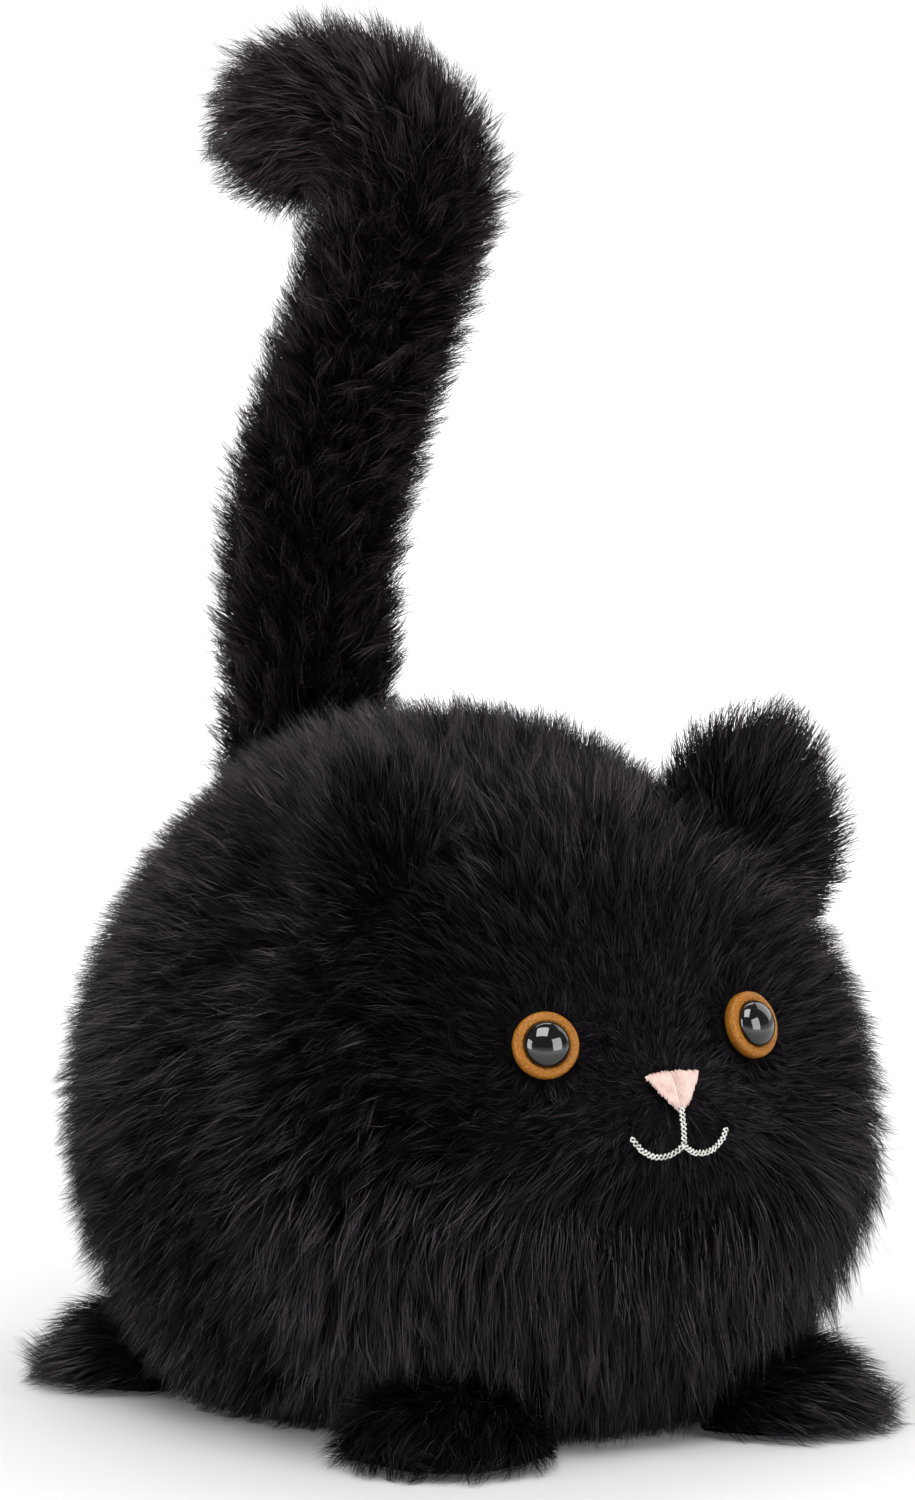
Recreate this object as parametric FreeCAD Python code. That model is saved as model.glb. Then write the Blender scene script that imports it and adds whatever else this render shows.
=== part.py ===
"""A round plush cat, sitting on a bead-weighted belly, with four paws, two ears and an upright hooked tail.

Millimetres. The cat looks along -Y, +X is its left, +Z is up, and the origin is the middle of the flat
of its belly, on the surface that it sits on. Each fur fabric panel is one solid, from its backing to the
level where its pile is dense, so loose fur stands a few millimetres proud of these solids.
"""

import FreeCAD
import Part
import math
import os

Vector = FreeCAD.Vector
UP = Vector(0, 0, 1)
FRONT = Vector(0, -1, 0)
SIDES = {"left": 1, "right": -1}

# The trunk is three ellipsoids run together: a tall rump, a lower head and a small muzzle.
RUMP_CENTRE, RUMP_SEMI = (0, 8, 34), (41, 42.5, 45)
HEAD_CENTRE, HEAD_SEMI = (0, -16, 36.5), (38.5, 29, 37)
MUZZLE_CENTRE, MUZZLE_SEMI = (0, -38.5, 39.5), (13.5, 9.5, 9)
PANEL_THICK = 4.0
BELLY_TOP = 10.0
FACE_CENTRE_Z, FACE_SEMI_X, FACE_SEMI_Z = 48.5, 27.0, 18.0
FACE_BACK_Y = -18.0
CHEST_HALF_WIDTH, CHEST_TOP = 24.0, 40.0
BIG = 200.0

# Toy eyes: an amber disc on a post, a black domed pupil and a lock washer behind the face fabric.
EYE_X, EYE_Z = 14.0, 50.4
IRIS_RADIUS, IRIS_THICK, IRIS_PROUD = 4.0, 1.6, 1.2
PUPIL_RADIUS, PUPIL_RISE = 2.8, 1.7
POST_RADIUS, POST_LENGTH = 1.5, 10.0
POST_HOLE_RADIUS = 1.6
WASHER_RADIUS, WASHER_THICK, WASHER_DEPTH = 4.6, 1.2, 6.0
EYE_POCKET_RADIUS, EYE_POCKET_DEPTH = 5.2, 13.0

# Embroidery stands on the muzzle.
THREAD_RAISE = 0.9
NOSE_HALF_WIDTH, NOSE_TOP, NOSE_BOTTOM = 3.1, 46.3, 42.2
MOUTH_CENTRE_X, MOUTH_CENTRE_Z = 2.5, 41.4
MOUTH_SEMI_X, MOUTH_SEMI_Z = 3.5, 3.8
MOUTH_END_Z = 39.9
THREAD_WIDTH = 0.8

# Filling: a pouch of plastic beads low in the belly, and fibre round it.
POUCH_CENTRE, POUCH_SEMI, POUCH_WALL = (0, 4, 14), (22, 24, 9), 0.6
BEAD_RADIUS, BEAD_PITCH = 1.9, 4.8

# Ears: two fabric leaves sewn round the edge, on a straight seam across the head.
EAR_INNER_END, EAR_OUTER_END = Vector(13, -20, 72.8), Vector(33, -24, 58.4)
EAR_TIP = Vector(30.5, -22, 81.5)
EAR_HALF_BASE, EAR_LEAF, EAR_BULGE = 11.5, 2.4, 2.4
EAR_GROOVE_RADIUS = 3.0
EAR_TIP_DEPTH = 5.0
EAR_TIP_HALF = 3.6

# Paws: half eggs lying on their soles, pointing outwards from under the trunk. Each lifts on the top of
# its inner end, where it is sewn on.
PAW_SEMI = (12.0, 11.5, 9.5)
PAW_WALL, SOLE_THICK = 2.0, 1.6
PAWS = {
    "front": {"tip": Vector(31.0, -40.4, 0), "points": Vector(0.75, -0.66, 0), "length": 20.4},
    "rear": {"tip": Vector(38.2, 34.7, 0), "points": Vector(0.82, 0.57, 0), "length": 16.3},
}
PAW_CLEARANCE = 0.6

# Tail: a straight lower length, then a lean and a hook that lie in one upright plane.
TAIL_BASE = Vector(0, 40.5, 64)
TAIL_LEAN = Vector(0.6, -0.8, 0)
TAIL_RADIUS, TAIL_WALL = 8.0, 2.0
TAIL_MIDDLE_Z = 92.0
LEAN_RADIUS, LEAN_ANGLE, LEAN_RUN = 60.0, 18.6, 30.6
HOOK_RADIUS, HOOK_ANGLE, HOOK_RUN = 9.0, 132.0, 2.0
SOCKET_GAP = 0.5
SOCKET_FLARE = math.tan(math.radians(24))


def ellipsoid(centre, semi, grow=0.0):
    """An ellipsoid, with grow added to each half axis."""
    scale = FreeCAD.Matrix()
    scale.scale(*(s + grow for s in semi))
    shape = Part.makeSphere(1.0).transformGeometry(scale)
    shape.translate(Vector(*centre))
    return shape


def slab(low, high):
    """A box from its low corner to its high corner."""
    size = [h - l for l, h in zip(low, high)]
    return Part.makeBox(*size, Vector(*low))


def trunk(grow):
    """The trunk's solid, grown or shrunk all round, with a flat bottom."""
    parts = [
        ellipsoid(RUMP_CENTRE, RUMP_SEMI, grow),
        ellipsoid(HEAD_CENTRE, HEAD_SEMI, grow),
        ellipsoid(MUZZLE_CENTRE, MUZZLE_SEMI, grow),
    ]
    whole = parts[0].fuse(parts[1:])
    return whole.cut(slab((-BIG, -BIG, -BIG), (BIG, BIG, max(0.0, -grow))))


def half_space(point, normal):
    """A big box on the side of a plane that its normal points to."""
    box = Part.makeBox(2 * BIG, 2 * BIG, BIG, Vector(-BIG, -BIG, 0))
    box.Placement = FreeCAD.Placement(point, FreeCAD.Rotation(UP, normal))
    return box


def ellipse_prism(centre_x, centre_z, semi_x, semi_z, y_from, y_to):
    """An elliptical bar along Y."""
    bar = Part.makeCylinder(1.0, 1.0, Vector(0, 0, 0), Vector(0, 1, 0))
    scale = FreeCAD.Matrix()
    scale.scale(semi_x, y_to - y_from, semi_z)
    bar = bar.transformGeometry(scale)
    bar.translate(Vector(centre_x, y_from, centre_z))
    return bar


def eye_frame(side):
    """Where an eye sits on the head's outer surface, and the outward direction there."""
    x, dz = EYE_X, EYE_Z - HEAD_CENTRE[2]
    a, b, c = HEAD_SEMI
    dy = -b * math.sqrt(1 - (x / a) ** 2 - (dz / c) ** 2)
    normal = Vector(side * x / a**2, dy / b**2, dz / c**2)
    normal.normalize()
    return Vector(side * x, HEAD_CENTRE[1] + dy, EYE_Z), normal


def eye(side):
    """The amber disc with its post, the pupil and the washer of one eye."""
    point, out = eye_frame(side)
    seat = point - out * (IRIS_THICK - IRIS_PROUD)
    top = point + out * IRIS_PROUD
    iris = Part.makeCylinder(IRIS_RADIUS, IRIS_THICK, seat, out)
    rim = [e for e in iris.Edges if e.Curve.TypeId == "Part::GeomCircle"]
    iris = iris.makeFillet(IRIS_THICK * 0.4, [max(rim, key=lambda e: e.CenterOfMass.dot(out))])
    iris = iris.fuse(Part.makeCylinder(POST_RADIUS, POST_LENGTH, seat, -out))
    # A dome of this rise over this radius is a slice of one ball.
    ball = (PUPIL_RADIUS**2 + PUPIL_RISE**2) / (2 * PUPIL_RISE)
    pupil = Part.makeSphere(ball, top + out * (PUPIL_RISE - ball))
    pupil = pupil.common(half_space(top, out))
    washer_at = point - out * (WASHER_DEPTH + WASHER_THICK)
    washer = Part.makeCylinder(WASHER_RADIUS, WASHER_THICK, washer_at, out)
    washer = washer.cut(Part.makeCylinder(POST_RADIUS, WASHER_THICK, washer_at, out))
    return {"iris": iris, "pupil": pupil, "washer": washer}


def eye_seat(side):
    """What an eye's disc and post take out of the face fabric."""
    point, out = eye_frame(side)
    bottom = point - out * (IRIS_THICK - IRIS_PROUD)
    seat = Part.makeCylinder(IRIS_RADIUS, PANEL_THICK, bottom, out)
    hole = Part.makeCylinder(POST_HOLE_RADIUS, POST_LENGTH, point, -out)
    return seat.fuse(hole)


def eye_pocket(side):
    """The room in the fibre filling for an eye's post and washer."""
    point, out = eye_frame(side)
    return Part.makeCylinder(EYE_POCKET_RADIUS, EYE_POCKET_DEPTH, point, -out)


def prism_on_face(points):
    """A bar along Y whose section is the polygon through these (x, z) points."""
    corners = [Vector(x, -BIG / 2, z) for x, z in points]
    wire = Part.makePolygon(corners + corners[:1])
    return Part.Face(wire).extrude(Vector(0, BIG / 2 + FACE_BACK_Y, 0))


def embroidery(outer):
    """The nose patch and the mouth line, as one thread's height of layer on the muzzle."""
    layer = ellipsoid(MUZZLE_CENTRE, MUZZLE_SEMI, THREAD_RAISE).cut(outer)
    nose = prism_on_face([(-NOSE_HALF_WIDTH, NOSE_TOP), (NOSE_HALF_WIDTH, NOSE_TOP), (0, NOSE_BOTTOM)])
    half = THREAD_WIDTH / 2
    lip_z = MOUTH_CENTRE_Z - MOUTH_SEMI_Z * math.sqrt(1 - (MOUTH_CENTRE_X / MOUTH_SEMI_X) ** 2)
    groove = [(-half, lip_z), (half, lip_z), (half, NOSE_BOTTOM + half), (-half, NOSE_BOTTOM + half)]
    mouth = prism_on_face(groove)
    for side in SIDES.values():
        where = (side * MOUTH_CENTRE_X, MOUTH_CENTRE_Z)
        ends = (-BIG / 2, FACE_BACK_Y)
        band = ellipse_prism(*where, MOUTH_SEMI_X + half, MOUTH_SEMI_Z + half, *ends)
        band = band.cut(ellipse_prism(*where, MOUTH_SEMI_X - half, MOUTH_SEMI_Z - half, *ends))
        reach = sorted((0, side * 2 * MOUTH_SEMI_X))
        smile = slab((reach[0], -BIG, 0), (reach[1], BIG, MOUTH_END_Z))
        mouth = mouth.fuse(band.common(smile))
    nose_patch = layer.common(nose)
    return {"nose_stitching": nose_patch, "mouth_stitching": layer.common(mouth).cut(nose_patch)}


def trunk_panels(outer, inner):
    """The trunk's fabric, cut along its seams into six panels."""
    shell = outer.cut(inner)
    low = slab((-BIG, -BIG, -1), (BIG, BIG, BELLY_TOP))
    face_bar = ellipse_prism(0, FACE_CENTRE_Z, FACE_SEMI_X, FACE_SEMI_Z, -BIG, FACE_BACK_Y)
    chest_box = slab((-CHEST_HALF_WIDTH, -BIG, BELLY_TOP), (CHEST_HALF_WIDTH, FACE_BACK_Y, CHEST_TOP))
    above = shell.cut(low)
    round_face = above.cut(face_bar)
    rest = round_face.cut(chest_box)
    return {
        "belly_panel": shell.common(low),
        "face_panel": above.common(face_bar),
        "chest_panel": round_face.common(chest_box),
        "side_panel_left": rest.common(slab((0, -BIG, 0), (BIG, BIG, BIG))),
    }


def beads():
    """The plastic beads, on a staggered grid that fills the pouch."""
    made = []
    room = [s - POUCH_WALL - BEAD_RADIUS - 0.1 for s in POUCH_SEMI]
    rows = int(POUCH_SEMI[1] / BEAD_PITCH) + 1
    for layer in range(-1, 2):
        for i in range(-rows, rows + 1):
            for j in range(-rows, rows + 1):
                shift = BEAD_PITCH / 2 * (layer % 2)
                at = (i * BEAD_PITCH + shift, j * BEAD_PITCH + shift, layer * BEAD_PITCH * 0.9)
                if sum((p / r) ** 2 for p, r in zip(at, room)) <= 1:
                    place = Vector(*at) + Vector(*POUCH_CENTRE)
                    made.append(Part.makeSphere(BEAD_RADIUS, place))
    return Part.makeCompound(made)


def mirrored(vector, side):
    """The vector as it is on the cat's left, or its mirror image on the right."""
    return Vector(side * vector.x, vector.y, vector.z)


def ear_axes(side):
    """The middle of an ear's seam, the direction along it, and the direction up the ear."""
    inner, outer_end = mirrored(EAR_INNER_END, side), mirrored(EAR_OUTER_END, side)
    middle = (inner + outer_end) * 0.5
    along = (outer_end - inner).normalize()
    lean = mirrored(EAR_TIP, side) - middle
    up = lean - along * lean.dot(along)
    return middle, along, up.normalize()


def ear(side):
    """The back and front leaves of one ear, with a rounded foot that turns in its groove."""
    middle, along, up = ear_axes(side)
    lean = mirrored(EAR_TIP, side) - middle
    tip_s, tip_h = lean.dot(along), lean.dot(up)

    def at(s, h):
        return middle + along * s + up * h

    shoulder_h = tip_h - EAR_TIP_DEPTH * 0.4
    left, right = (tip_s - EAR_TIP_HALF, shoulder_h), (tip_s + EAR_TIP_HALF, shoulder_h)
    outline = [
        Part.Arc(
            at(-EAR_HALF_BASE, 0),
            at((left[0] - EAR_HALF_BASE) / 2 - EAR_BULGE, left[1] / 2),
            at(*left),
        ),
        Part.Arc(at(*left), at(tip_s, tip_h), at(*right)),
        Part.Arc(
            at(*right),
            at((right[0] + EAR_HALF_BASE) / 2 + EAR_BULGE, right[1] / 2),
            at(EAR_HALF_BASE, 0),
        ),
    ]
    base = Part.LineSegment(at(EAR_HALF_BASE, 0), at(-EAR_HALF_BASE, 0))
    face = Part.Face(Part.Wire([curve.toShape() for curve in outline + [base]]))
    forward = along.cross(up)
    if forward.dot(FRONT) < 0:
        forward = -forward
    foot = Part.makeCylinder(EAR_LEAF, 2 * EAR_HALF_BASE, at(-EAR_HALF_BASE, 0), along)
    leaves = {}
    for name, way in (("front", forward), ("back", -forward)):
        leaf = face.extrude(way * EAR_LEAF)
        leaf = leaf.fuse(foot.common(half_space(middle, way)))
        leaves[name] = leaf.removeSplitter()
    return leaves


def ear_groove(side):
    """The groove that an ear's foot turns in."""
    middle, along, up = ear_axes(side)
    reach = EAR_HALF_BASE + EAR_GROOVE_RADIUS - EAR_LEAF
    return Part.makeCylinder(EAR_GROOVE_RADIUS, 2 * reach, middle - along * reach, along)


def paw(place, side, keep_out):
    """The upper, sole and filling of one paw."""
    points = mirrored(place["points"], side).normalize()
    tip = mirrored(place["tip"], side)
    centre = tip - points * PAW_SEMI[0]
    turn = FreeCAD.Rotation(Vector(1, 0, 0), points)
    seam = half_space(tip - points * place["length"], points)
    floor = slab((-BIG, -BIG, -BIG), (BIG, BIG, 0))

    def egg(grow):
        shape = ellipsoid((0, 0, 0), PAW_SEMI, grow)
        shape.Placement = FreeCAD.Placement(centre, turn)
        return shape.common(seam).cut(floor).cut(keep_out)

    whole, hollow = egg(0.0), egg(-PAW_WALL)
    sole_slab = slab((-BIG, -BIG, -1), (BIG, BIG, SOLE_THICK))
    return {
        "sole": whole.common(sole_slab),
        "upper": whole.cut(hollow).cut(sole_slab),
        "filling": hollow.cut(sole_slab),
    }


def tail_point(lean, z):
    """A point of the tail's plane: how far along its lean, and how high."""
    return Vector(TAIL_BASE.x, TAIL_BASE.y, z) + TAIL_LEAN * lean


def arc_to(start, angle_from, radius, turn):
    """The middle, end and end heading of an arc in the tail's plane.

    Headings are in degrees from upright, and turn is positive towards the lean.
    """
    sign = 1 if turn > 0 else -1
    heading = math.radians(angle_from)
    centre = (
        start[0] + sign * radius * math.cos(heading),
        start[1] - sign * radius * math.sin(heading),
    )

    def on_arc(part):
        now = math.radians(angle_from + turn * part)
        return (
            centre[0] - sign * radius * math.cos(now),
            centre[1] + sign * radius * math.sin(now),
        )

    return on_arc(0.5), on_arc(1.0), angle_from + turn


def tail_path():
    """The centre line of the tail above its middle joint, and the tip's centre."""
    start = (0.0, TAIL_MIDDLE_Z)
    middle_1, end_1, heading = arc_to(start, 0.0, LEAN_RADIUS, LEAN_ANGLE)
    lean = math.radians(heading)
    end_2 = (end_1[0] + LEAN_RUN * math.sin(lean), end_1[1] + LEAN_RUN * math.cos(lean))
    middle_3, end_3, heading = arc_to(end_2, heading, HOOK_RADIUS, -HOOK_ANGLE)
    lean = math.radians(heading)
    tip = (end_3[0] + HOOK_RUN * math.sin(lean), end_3[1] + HOOK_RUN * math.cos(lean))
    edges = [
        Part.Arc(tail_point(*start), tail_point(*middle_1), tail_point(*end_1)),
        Part.LineSegment(tail_point(*end_1), tail_point(*end_2)),
        Part.Arc(tail_point(*end_2), tail_point(*middle_3), tail_point(*end_3)),
        Part.LineSegment(tail_point(*end_3), tail_point(*tip)),
    ]
    return Part.Wire([edge.toShape() for edge in edges]), tail_point(*tip)


def tail_upper(radius):
    """The hooked upper length of the tail, rounded at both ends."""
    path, tip = tail_path()
    start = tail_point(0, TAIL_MIDDLE_Z)
    ring = Part.Wire([Part.makeCircle(radius, start, UP)])
    tube = path.makePipeShell([ring], True, True)
    return tube.fuse([Part.makeSphere(radius, start), Part.makeSphere(radius, tip)])


def tail_lower(radius):
    """The straight lower length, from the ball in the rump's socket to the hollow under the upper length."""
    height = TAIL_MIDDLE_Z - TAIL_BASE.z
    tube = Part.makeCylinder(radius, height, TAIL_BASE, UP)
    tube = tube.fuse(Part.makeSphere(radius, TAIL_BASE))
    hollow = Part.makeSphere(TAIL_RADIUS + SOCKET_GAP, tail_point(0, TAIL_MIDDLE_Z))
    return tube.cut(hollow)


def tail_length(name, whole, core):
    """Two mirrored fabric panels and the filling of one length of the tail."""
    across = UP.cross(TAIL_LEAN)
    wall = whole.cut(core)
    return {
        f"{name}_panel_left": wall.common(half_space(TAIL_BASE, across)),
        f"{name}_panel_right": wall.common(half_space(TAIL_BASE, -across)),
        f"{name}_filling": core,
    }


def tail_socket():
    """The hollow in the rump that the tail's root turns in, flared for its travel."""
    radius, height = TAIL_RADIUS + SOCKET_GAP, 30.0
    flare = Part.makeCone(radius, radius + height * SOCKET_FLARE, height, TAIL_BASE, UP)
    return Part.makeSphere(radius, TAIL_BASE).fuse(flare)


def build():
    """Every piece of the cat, as a dictionary of node name to shape."""
    outer, inner = trunk(0.0), trunk(-PANEL_THICK)
    nodes = trunk_panels(outer, inner)
    socket = tail_socket()
    left_panel = nodes["side_panel_left"].cut(ear_groove(SIDES["left"])).cut(socket)
    nodes["side_panel_left"] = left_panel
    nodes["side_panel_right"] = left_panel.mirror(Vector(0, 0, 0), Vector(1, 0, 0))
    for name, side in SIDES.items():
        nodes["face_panel"] = nodes["face_panel"].cut(eye_seat(side))
        for piece, shape in eye(side).items():
            nodes[f"eye_{name}_{piece}"] = shape
        for piece, shape in ear(side).items():
            nodes[f"ear_{name}_{piece}"] = shape
    nodes.update(embroidery(outer))

    filling = inner.cut(ellipsoid(POUCH_CENTRE, POUCH_SEMI))
    for side in SIDES.values():
        filling = filling.cut(eye_pocket(side))
    nodes["body_filling"] = filling.cut(socket)
    pouch = ellipsoid(POUCH_CENTRE, POUCH_SEMI)
    nodes["bead_pouch"] = pouch.cut(ellipsoid(POUCH_CENTRE, POUCH_SEMI, -POUCH_WALL))
    nodes["beads"] = beads()

    keep_out = trunk(PAW_CLEARANCE)
    for end, place in PAWS.items():
        for name, side in SIDES.items():
            for piece, shape in paw(place, side, keep_out).items():
                nodes[f"paw_{end}_{name}_{piece}"] = shape

    core = TAIL_RADIUS - TAIL_WALL
    nodes.update(tail_length("tail_lower", tail_lower(TAIL_RADIUS), tail_lower(core)))
    nodes.update(tail_length("tail_upper", tail_upper(TAIL_RADIUS), tail_upper(core)))
    return nodes


def main():
    os.makedirs("parts", exist_ok=True)
    for name, shape in sorted(build().items()):
        shape.exportStep(f"parts/{name}.step")
        solids = len(shape.Solids)
        print(f"{name}: {solids} solid(s), {shape.Volume:.0f} mm3, valid {shape.isValid()}")


main()
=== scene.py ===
"""The looks of a round black plush cat: long pile on dark cloth, toy eyes, embroidered nose and mouth.

Lengths are millimetres until a mesh is made. Each skin is the cloth just inside its packed panels, and the
pile on a skin is a mesh of real strands, rooted at random places on it and drawn together into tufts.
"""

import bpy
import math
import numpy as np
from collections import namedtuple
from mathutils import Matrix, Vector, kdtree
from mathutils.bvhtree import BVHTree


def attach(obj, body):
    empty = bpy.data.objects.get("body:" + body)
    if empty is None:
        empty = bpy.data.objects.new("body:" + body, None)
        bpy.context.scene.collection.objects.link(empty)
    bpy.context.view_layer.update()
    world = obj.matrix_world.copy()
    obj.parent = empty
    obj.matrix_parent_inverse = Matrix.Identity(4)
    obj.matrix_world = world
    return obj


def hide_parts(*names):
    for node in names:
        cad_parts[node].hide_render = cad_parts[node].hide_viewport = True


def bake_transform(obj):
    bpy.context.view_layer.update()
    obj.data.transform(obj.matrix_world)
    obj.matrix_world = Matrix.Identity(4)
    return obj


MM = 0.001
SEED = 27
SIDES = {"left": 1, "right": -1}

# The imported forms, and how far inside them the cloth lies. The nose and mouth are a little smaller than
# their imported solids, and the face is the area of shorter pile.
TRUNK_CENTRE = np.array((0.0, 0.0, 36.0))
TRUNK_LOBES = (
    ((0, 8, 34), (41, 42.5, 45)),
    ((0, -16, 36.5), (38.5, 29, 37)),
    ((0, -38.5, 39.5), (13.5, 9.5, 9)),
)
LOBE_BLEND = 20
SKIN_INSET = 0.6
EYE_X, EYE_Z = 14.0, 50.4
IRIS_RADIUS, IRIS_PROUD, PUPIL_RADIUS, PUPIL_RISE = 4.0, 1.2, 2.8, 1.7
NOSE = np.array((0.0, -46.5, 44.5))
NOSE_HALF_WIDTH, NOSE_TOP, NOSE_BOTTOM = 3.0, 46.2, 42.5
LIP_X, LIP_Z, LIP_SEMI_X, LIP_SEMI_Z, LIP_END_Z = 2.5, 41.4, 3.5, 3.8, 39.9
FACE_Z, FACE_SEMI_X, FACE_SEMI_Z, FACE_BACK_Y = 48.5, 27.0, 18.0, -18.0

# The left ear's seam runs between its two ends. The right ear is its mirror image.
EAR_INNER_END, EAR_OUTER_END = np.array((13.0, -20, 72.8)), np.array((33.0, -24, 58.4))
EAR_TIP = np.array((30.5, -22, 81.5))
EAR_HALF_BASE, EAR_HALF_THICK = 11.4, 2.2

# The left paws: where each one's tip is, which way it points, and its length from there to its inner end.
PAW_SEMI = np.array((12.0, 11.5, 9.5))
PAWS = {
    "front": {"tip": (31.0, -40.4), "points": (0.75, -0.66), "length": 17.4},
    "rear": {"tip": (38.2, 34.7), "points": (0.82, 0.57), "length": 13.3},
}

# The tail's centre line goes up from its root, bends into its lean, runs on straight, and hooks back.
TAIL_BASE = np.array((0.0, 40.5, 0.0))
TAIL_LEAN = np.array((0.6, -0.8, 0.0))
TAIL_ACROSS = np.array((0.8, 0.6, 0.0))
TAIL_RADIUS = 7.4
TAIL_ROOT_Z, TAIL_SPLIT_Z, TAIL_MIDDLE_Z = 56.0, 80.0, 92.0
LEAN_RADIUS, LEAN_ANGLE, LEAN_RUN = 60.0, 18.6, 30.6
HOOK_RADIUS, HOOK_ANGLE, HOOK_RUN = 9.0, 132.0, 2.0
# Heights at the rump and at the tail's bend. Each length of the tail is given one pair, but nothing reads it.
TAIL_TILT_Z, TAIL_BEND_Z = (60.0, 70.0), (85.0, 99.0)

# Embroidery: a thread's radius, the step between the nose's threads, and the mouth's two crossing threads,
# which swing once over each period, to the side and outwards.
THREAD_RADIUS, NOSE_STEP = 0.1, 0.15
CHAIN_PERIOD, CHAIN_SWING, CHAIN_RISE = 1.1, 0.27, 0.12

# Strands: where along a strand its cross sections are, how wide it is at each but its tip, and how many
# strands make a tuft.
STATIONS = (0.0, 0.3, 0.65, 1.0)
TAPER = (1.0, 0.85, 0.5)
TUFT = 16

# Fur: strands on each square millimetre, their length and width, and how many objects they make. On the
# trunk, where the length changes from place to place, the length is a share of that.
Layer = namedtuple("Layer", "density length width pieces")
TRUNK_FUR = {"undercoat": Layer(3.4, 0.72, 0.18, 2), "pile": Layer(6.4, 1.0, 0.09, 4)}
TAIL_FUR = {"undercoat": Layer(4.0, 5.2, 0.18, 1), "pile": Layer(8.0, 8.0, 0.1, 1)}
EAR_FUR = {"undercoat": Layer(4.5, 4.4, 0.18, 1), "pile": Layer(9.0, 8.0, 0.1, 1)}
PAW_FUR = {"undercoat": Layer(4.0, 5.0, 0.18, 1), "pile": Layer(8.0, 8.0, 0.1, 1)}
# The angles at which strands leave the cloth and end, from its normal, in degrees.
TAIL_LAY, EAR_LAY, PAW_LAY = (30, 47), (50, 74), (45, 72)
# The trunk's lengths: beside the nose, how much that grows for each millimetre from it, away from the face,
# what the chest adds, and the share that is missing under the tail.
NOSE_PILE, FACE_SLOPE, FULL_PILE, CHEST_PILE, TAIL_WEAR = 1.2, 0.13, 8.4, 4.0, 0.45
# The width of the face's strands, as a share of the trunk's.
FACE_WIDTH_SHARE = 0.8

# The shades of black fibre, how much darker the undercoat and the roots are painted, as shade down in the
# pile, and the tint of the gloss.
UNDERCOAT_PAINTED_SHADE, ROOT_PAINTED_SHADE = 0.5, 0.3
FIBRE_SHEEN = (1.0, 0.84, 1.0, 1.0)
BLACK_SHADES = [
    (0.0020, 0.0016, 0.0020),
    (0.0030, 0.0024, 0.0028),
    (0.0060, 0.0048, 0.0058),
    (0.0025, 0.0021, 0.0030),
    (0.0090, 0.0070, 0.0076),
    (0.0035, 0.0030, 0.0042),
    (0.0300, 0.0245, 0.0270),
    (0.0070, 0.0058, 0.0082),
]

# The studio, in metres. Each softbox has its azimuth and elevation in degrees, power in watts and size.
# It stands 1 m from the lit point.
LIT_POINT = Vector((0, 0, 0.05))
SOFTBOXES = {
    "softbox_top": (-34, 64, 12.0, 0.66),
    "softbox_left": (-92, 10, 8.4, 0.62),
    "softbox_right": (20, 16, 7.0, 0.6),
    "softbox_back": (160, 50, 8.0, 0.8),
    "softbox_far_side": (100, 30, 4.5, 0.8),
}
# The world is white at the horizon and below, and dim above it, so that the pupils stay dark.
WORLD_WHITE, WORLD_DIM = (0.04, (1.0, 1.0, 1.0)), (0.2, (0.2, 0.2, 0.21))
# The floor glows, as painted light, more with distance, so that it runs out into white. Near the cat it glows
# less, which leaves a painted grey pool round it like a soft shadow.
FLOOR_REACH = 30.0
PAINTED_GLOW = {"From Min": 0.05, "From Max": 0.48, "To Min": 0.04, "To Max": 1.1}
CAMERA_TARGET = Vector((-1.8, 1.0, 79.0)) * MM
CAMERA_AZIMUTH, CAMERA_ELEVATION, CAMERA_DISTANCE, FOCAL_LENGTH = -30, 9, 2.0, 400


def unit(vectors):
    """Each row at length 1."""
    size = np.linalg.norm(vectors, axis=-1, keepdims=True)
    return vectors / np.maximum(size, 1e-9)


def smooth(low, high, value):
    """0 below low, 1 above high, and a smooth rise between."""
    t = np.clip((value - low) / (high - low), 0, 1)
    return t * t * (3 - 2 * t)


# ---------------------------------------------------------------- materials


def principled(name, roughness, **constants):
    """A new material with its shader. Constants are set on the shader's own sockets."""
    made = bpy.data.materials.new(name)
    made.use_nodes = True
    shader = made.node_tree.nodes["Principled BSDF"]
    shader.inputs["Roughness"].default_value = roughness
    for socket, value in constants.items():
        shader.inputs[socket.replace("_", " ")].default_value = value
    return made, made.node_tree, shader


def ramp(tree, source, stops, constant=False):
    """A colour ramp fed by source. stops are (place, colour) pairs."""
    node = tree.nodes.new("ShaderNodeValToRGB")
    node.color_ramp.interpolation = "CONSTANT" if constant else "LINEAR"
    while len(node.color_ramp.elements) < len(stops):
        node.color_ramp.elements.new(0.5)
    for element, (place, colour) in zip(node.color_ramp.elements, stops):
        element.position = place
        element.color = (*colour, 1)
    tree.links.new(source, node.inputs["Fac"])
    return node.outputs["Color"]


def noise(tree, scale):
    """Object-space noise, as a grey value."""
    place = tree.nodes.new("ShaderNodeTexCoord")
    node = tree.nodes.new("ShaderNodeTexNoise")
    node.inputs["Scale"].default_value = scale
    node.inputs["Detail"].default_value = 3.0
    tree.links.new(place.outputs["Object"], node.inputs["Vector"])
    return node.outputs["Fac"]


def mottled(name, roughness, low, high, scale, **constants):
    """A material whose colour wanders between two values."""
    made, tree, shader = principled(name, roughness, **constants)
    colour = ramp(tree, noise(tree, scale), ((0.35, low), (0.65, high)))
    tree.links.new(colour, shader.inputs["Base Color"])
    return made


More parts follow.
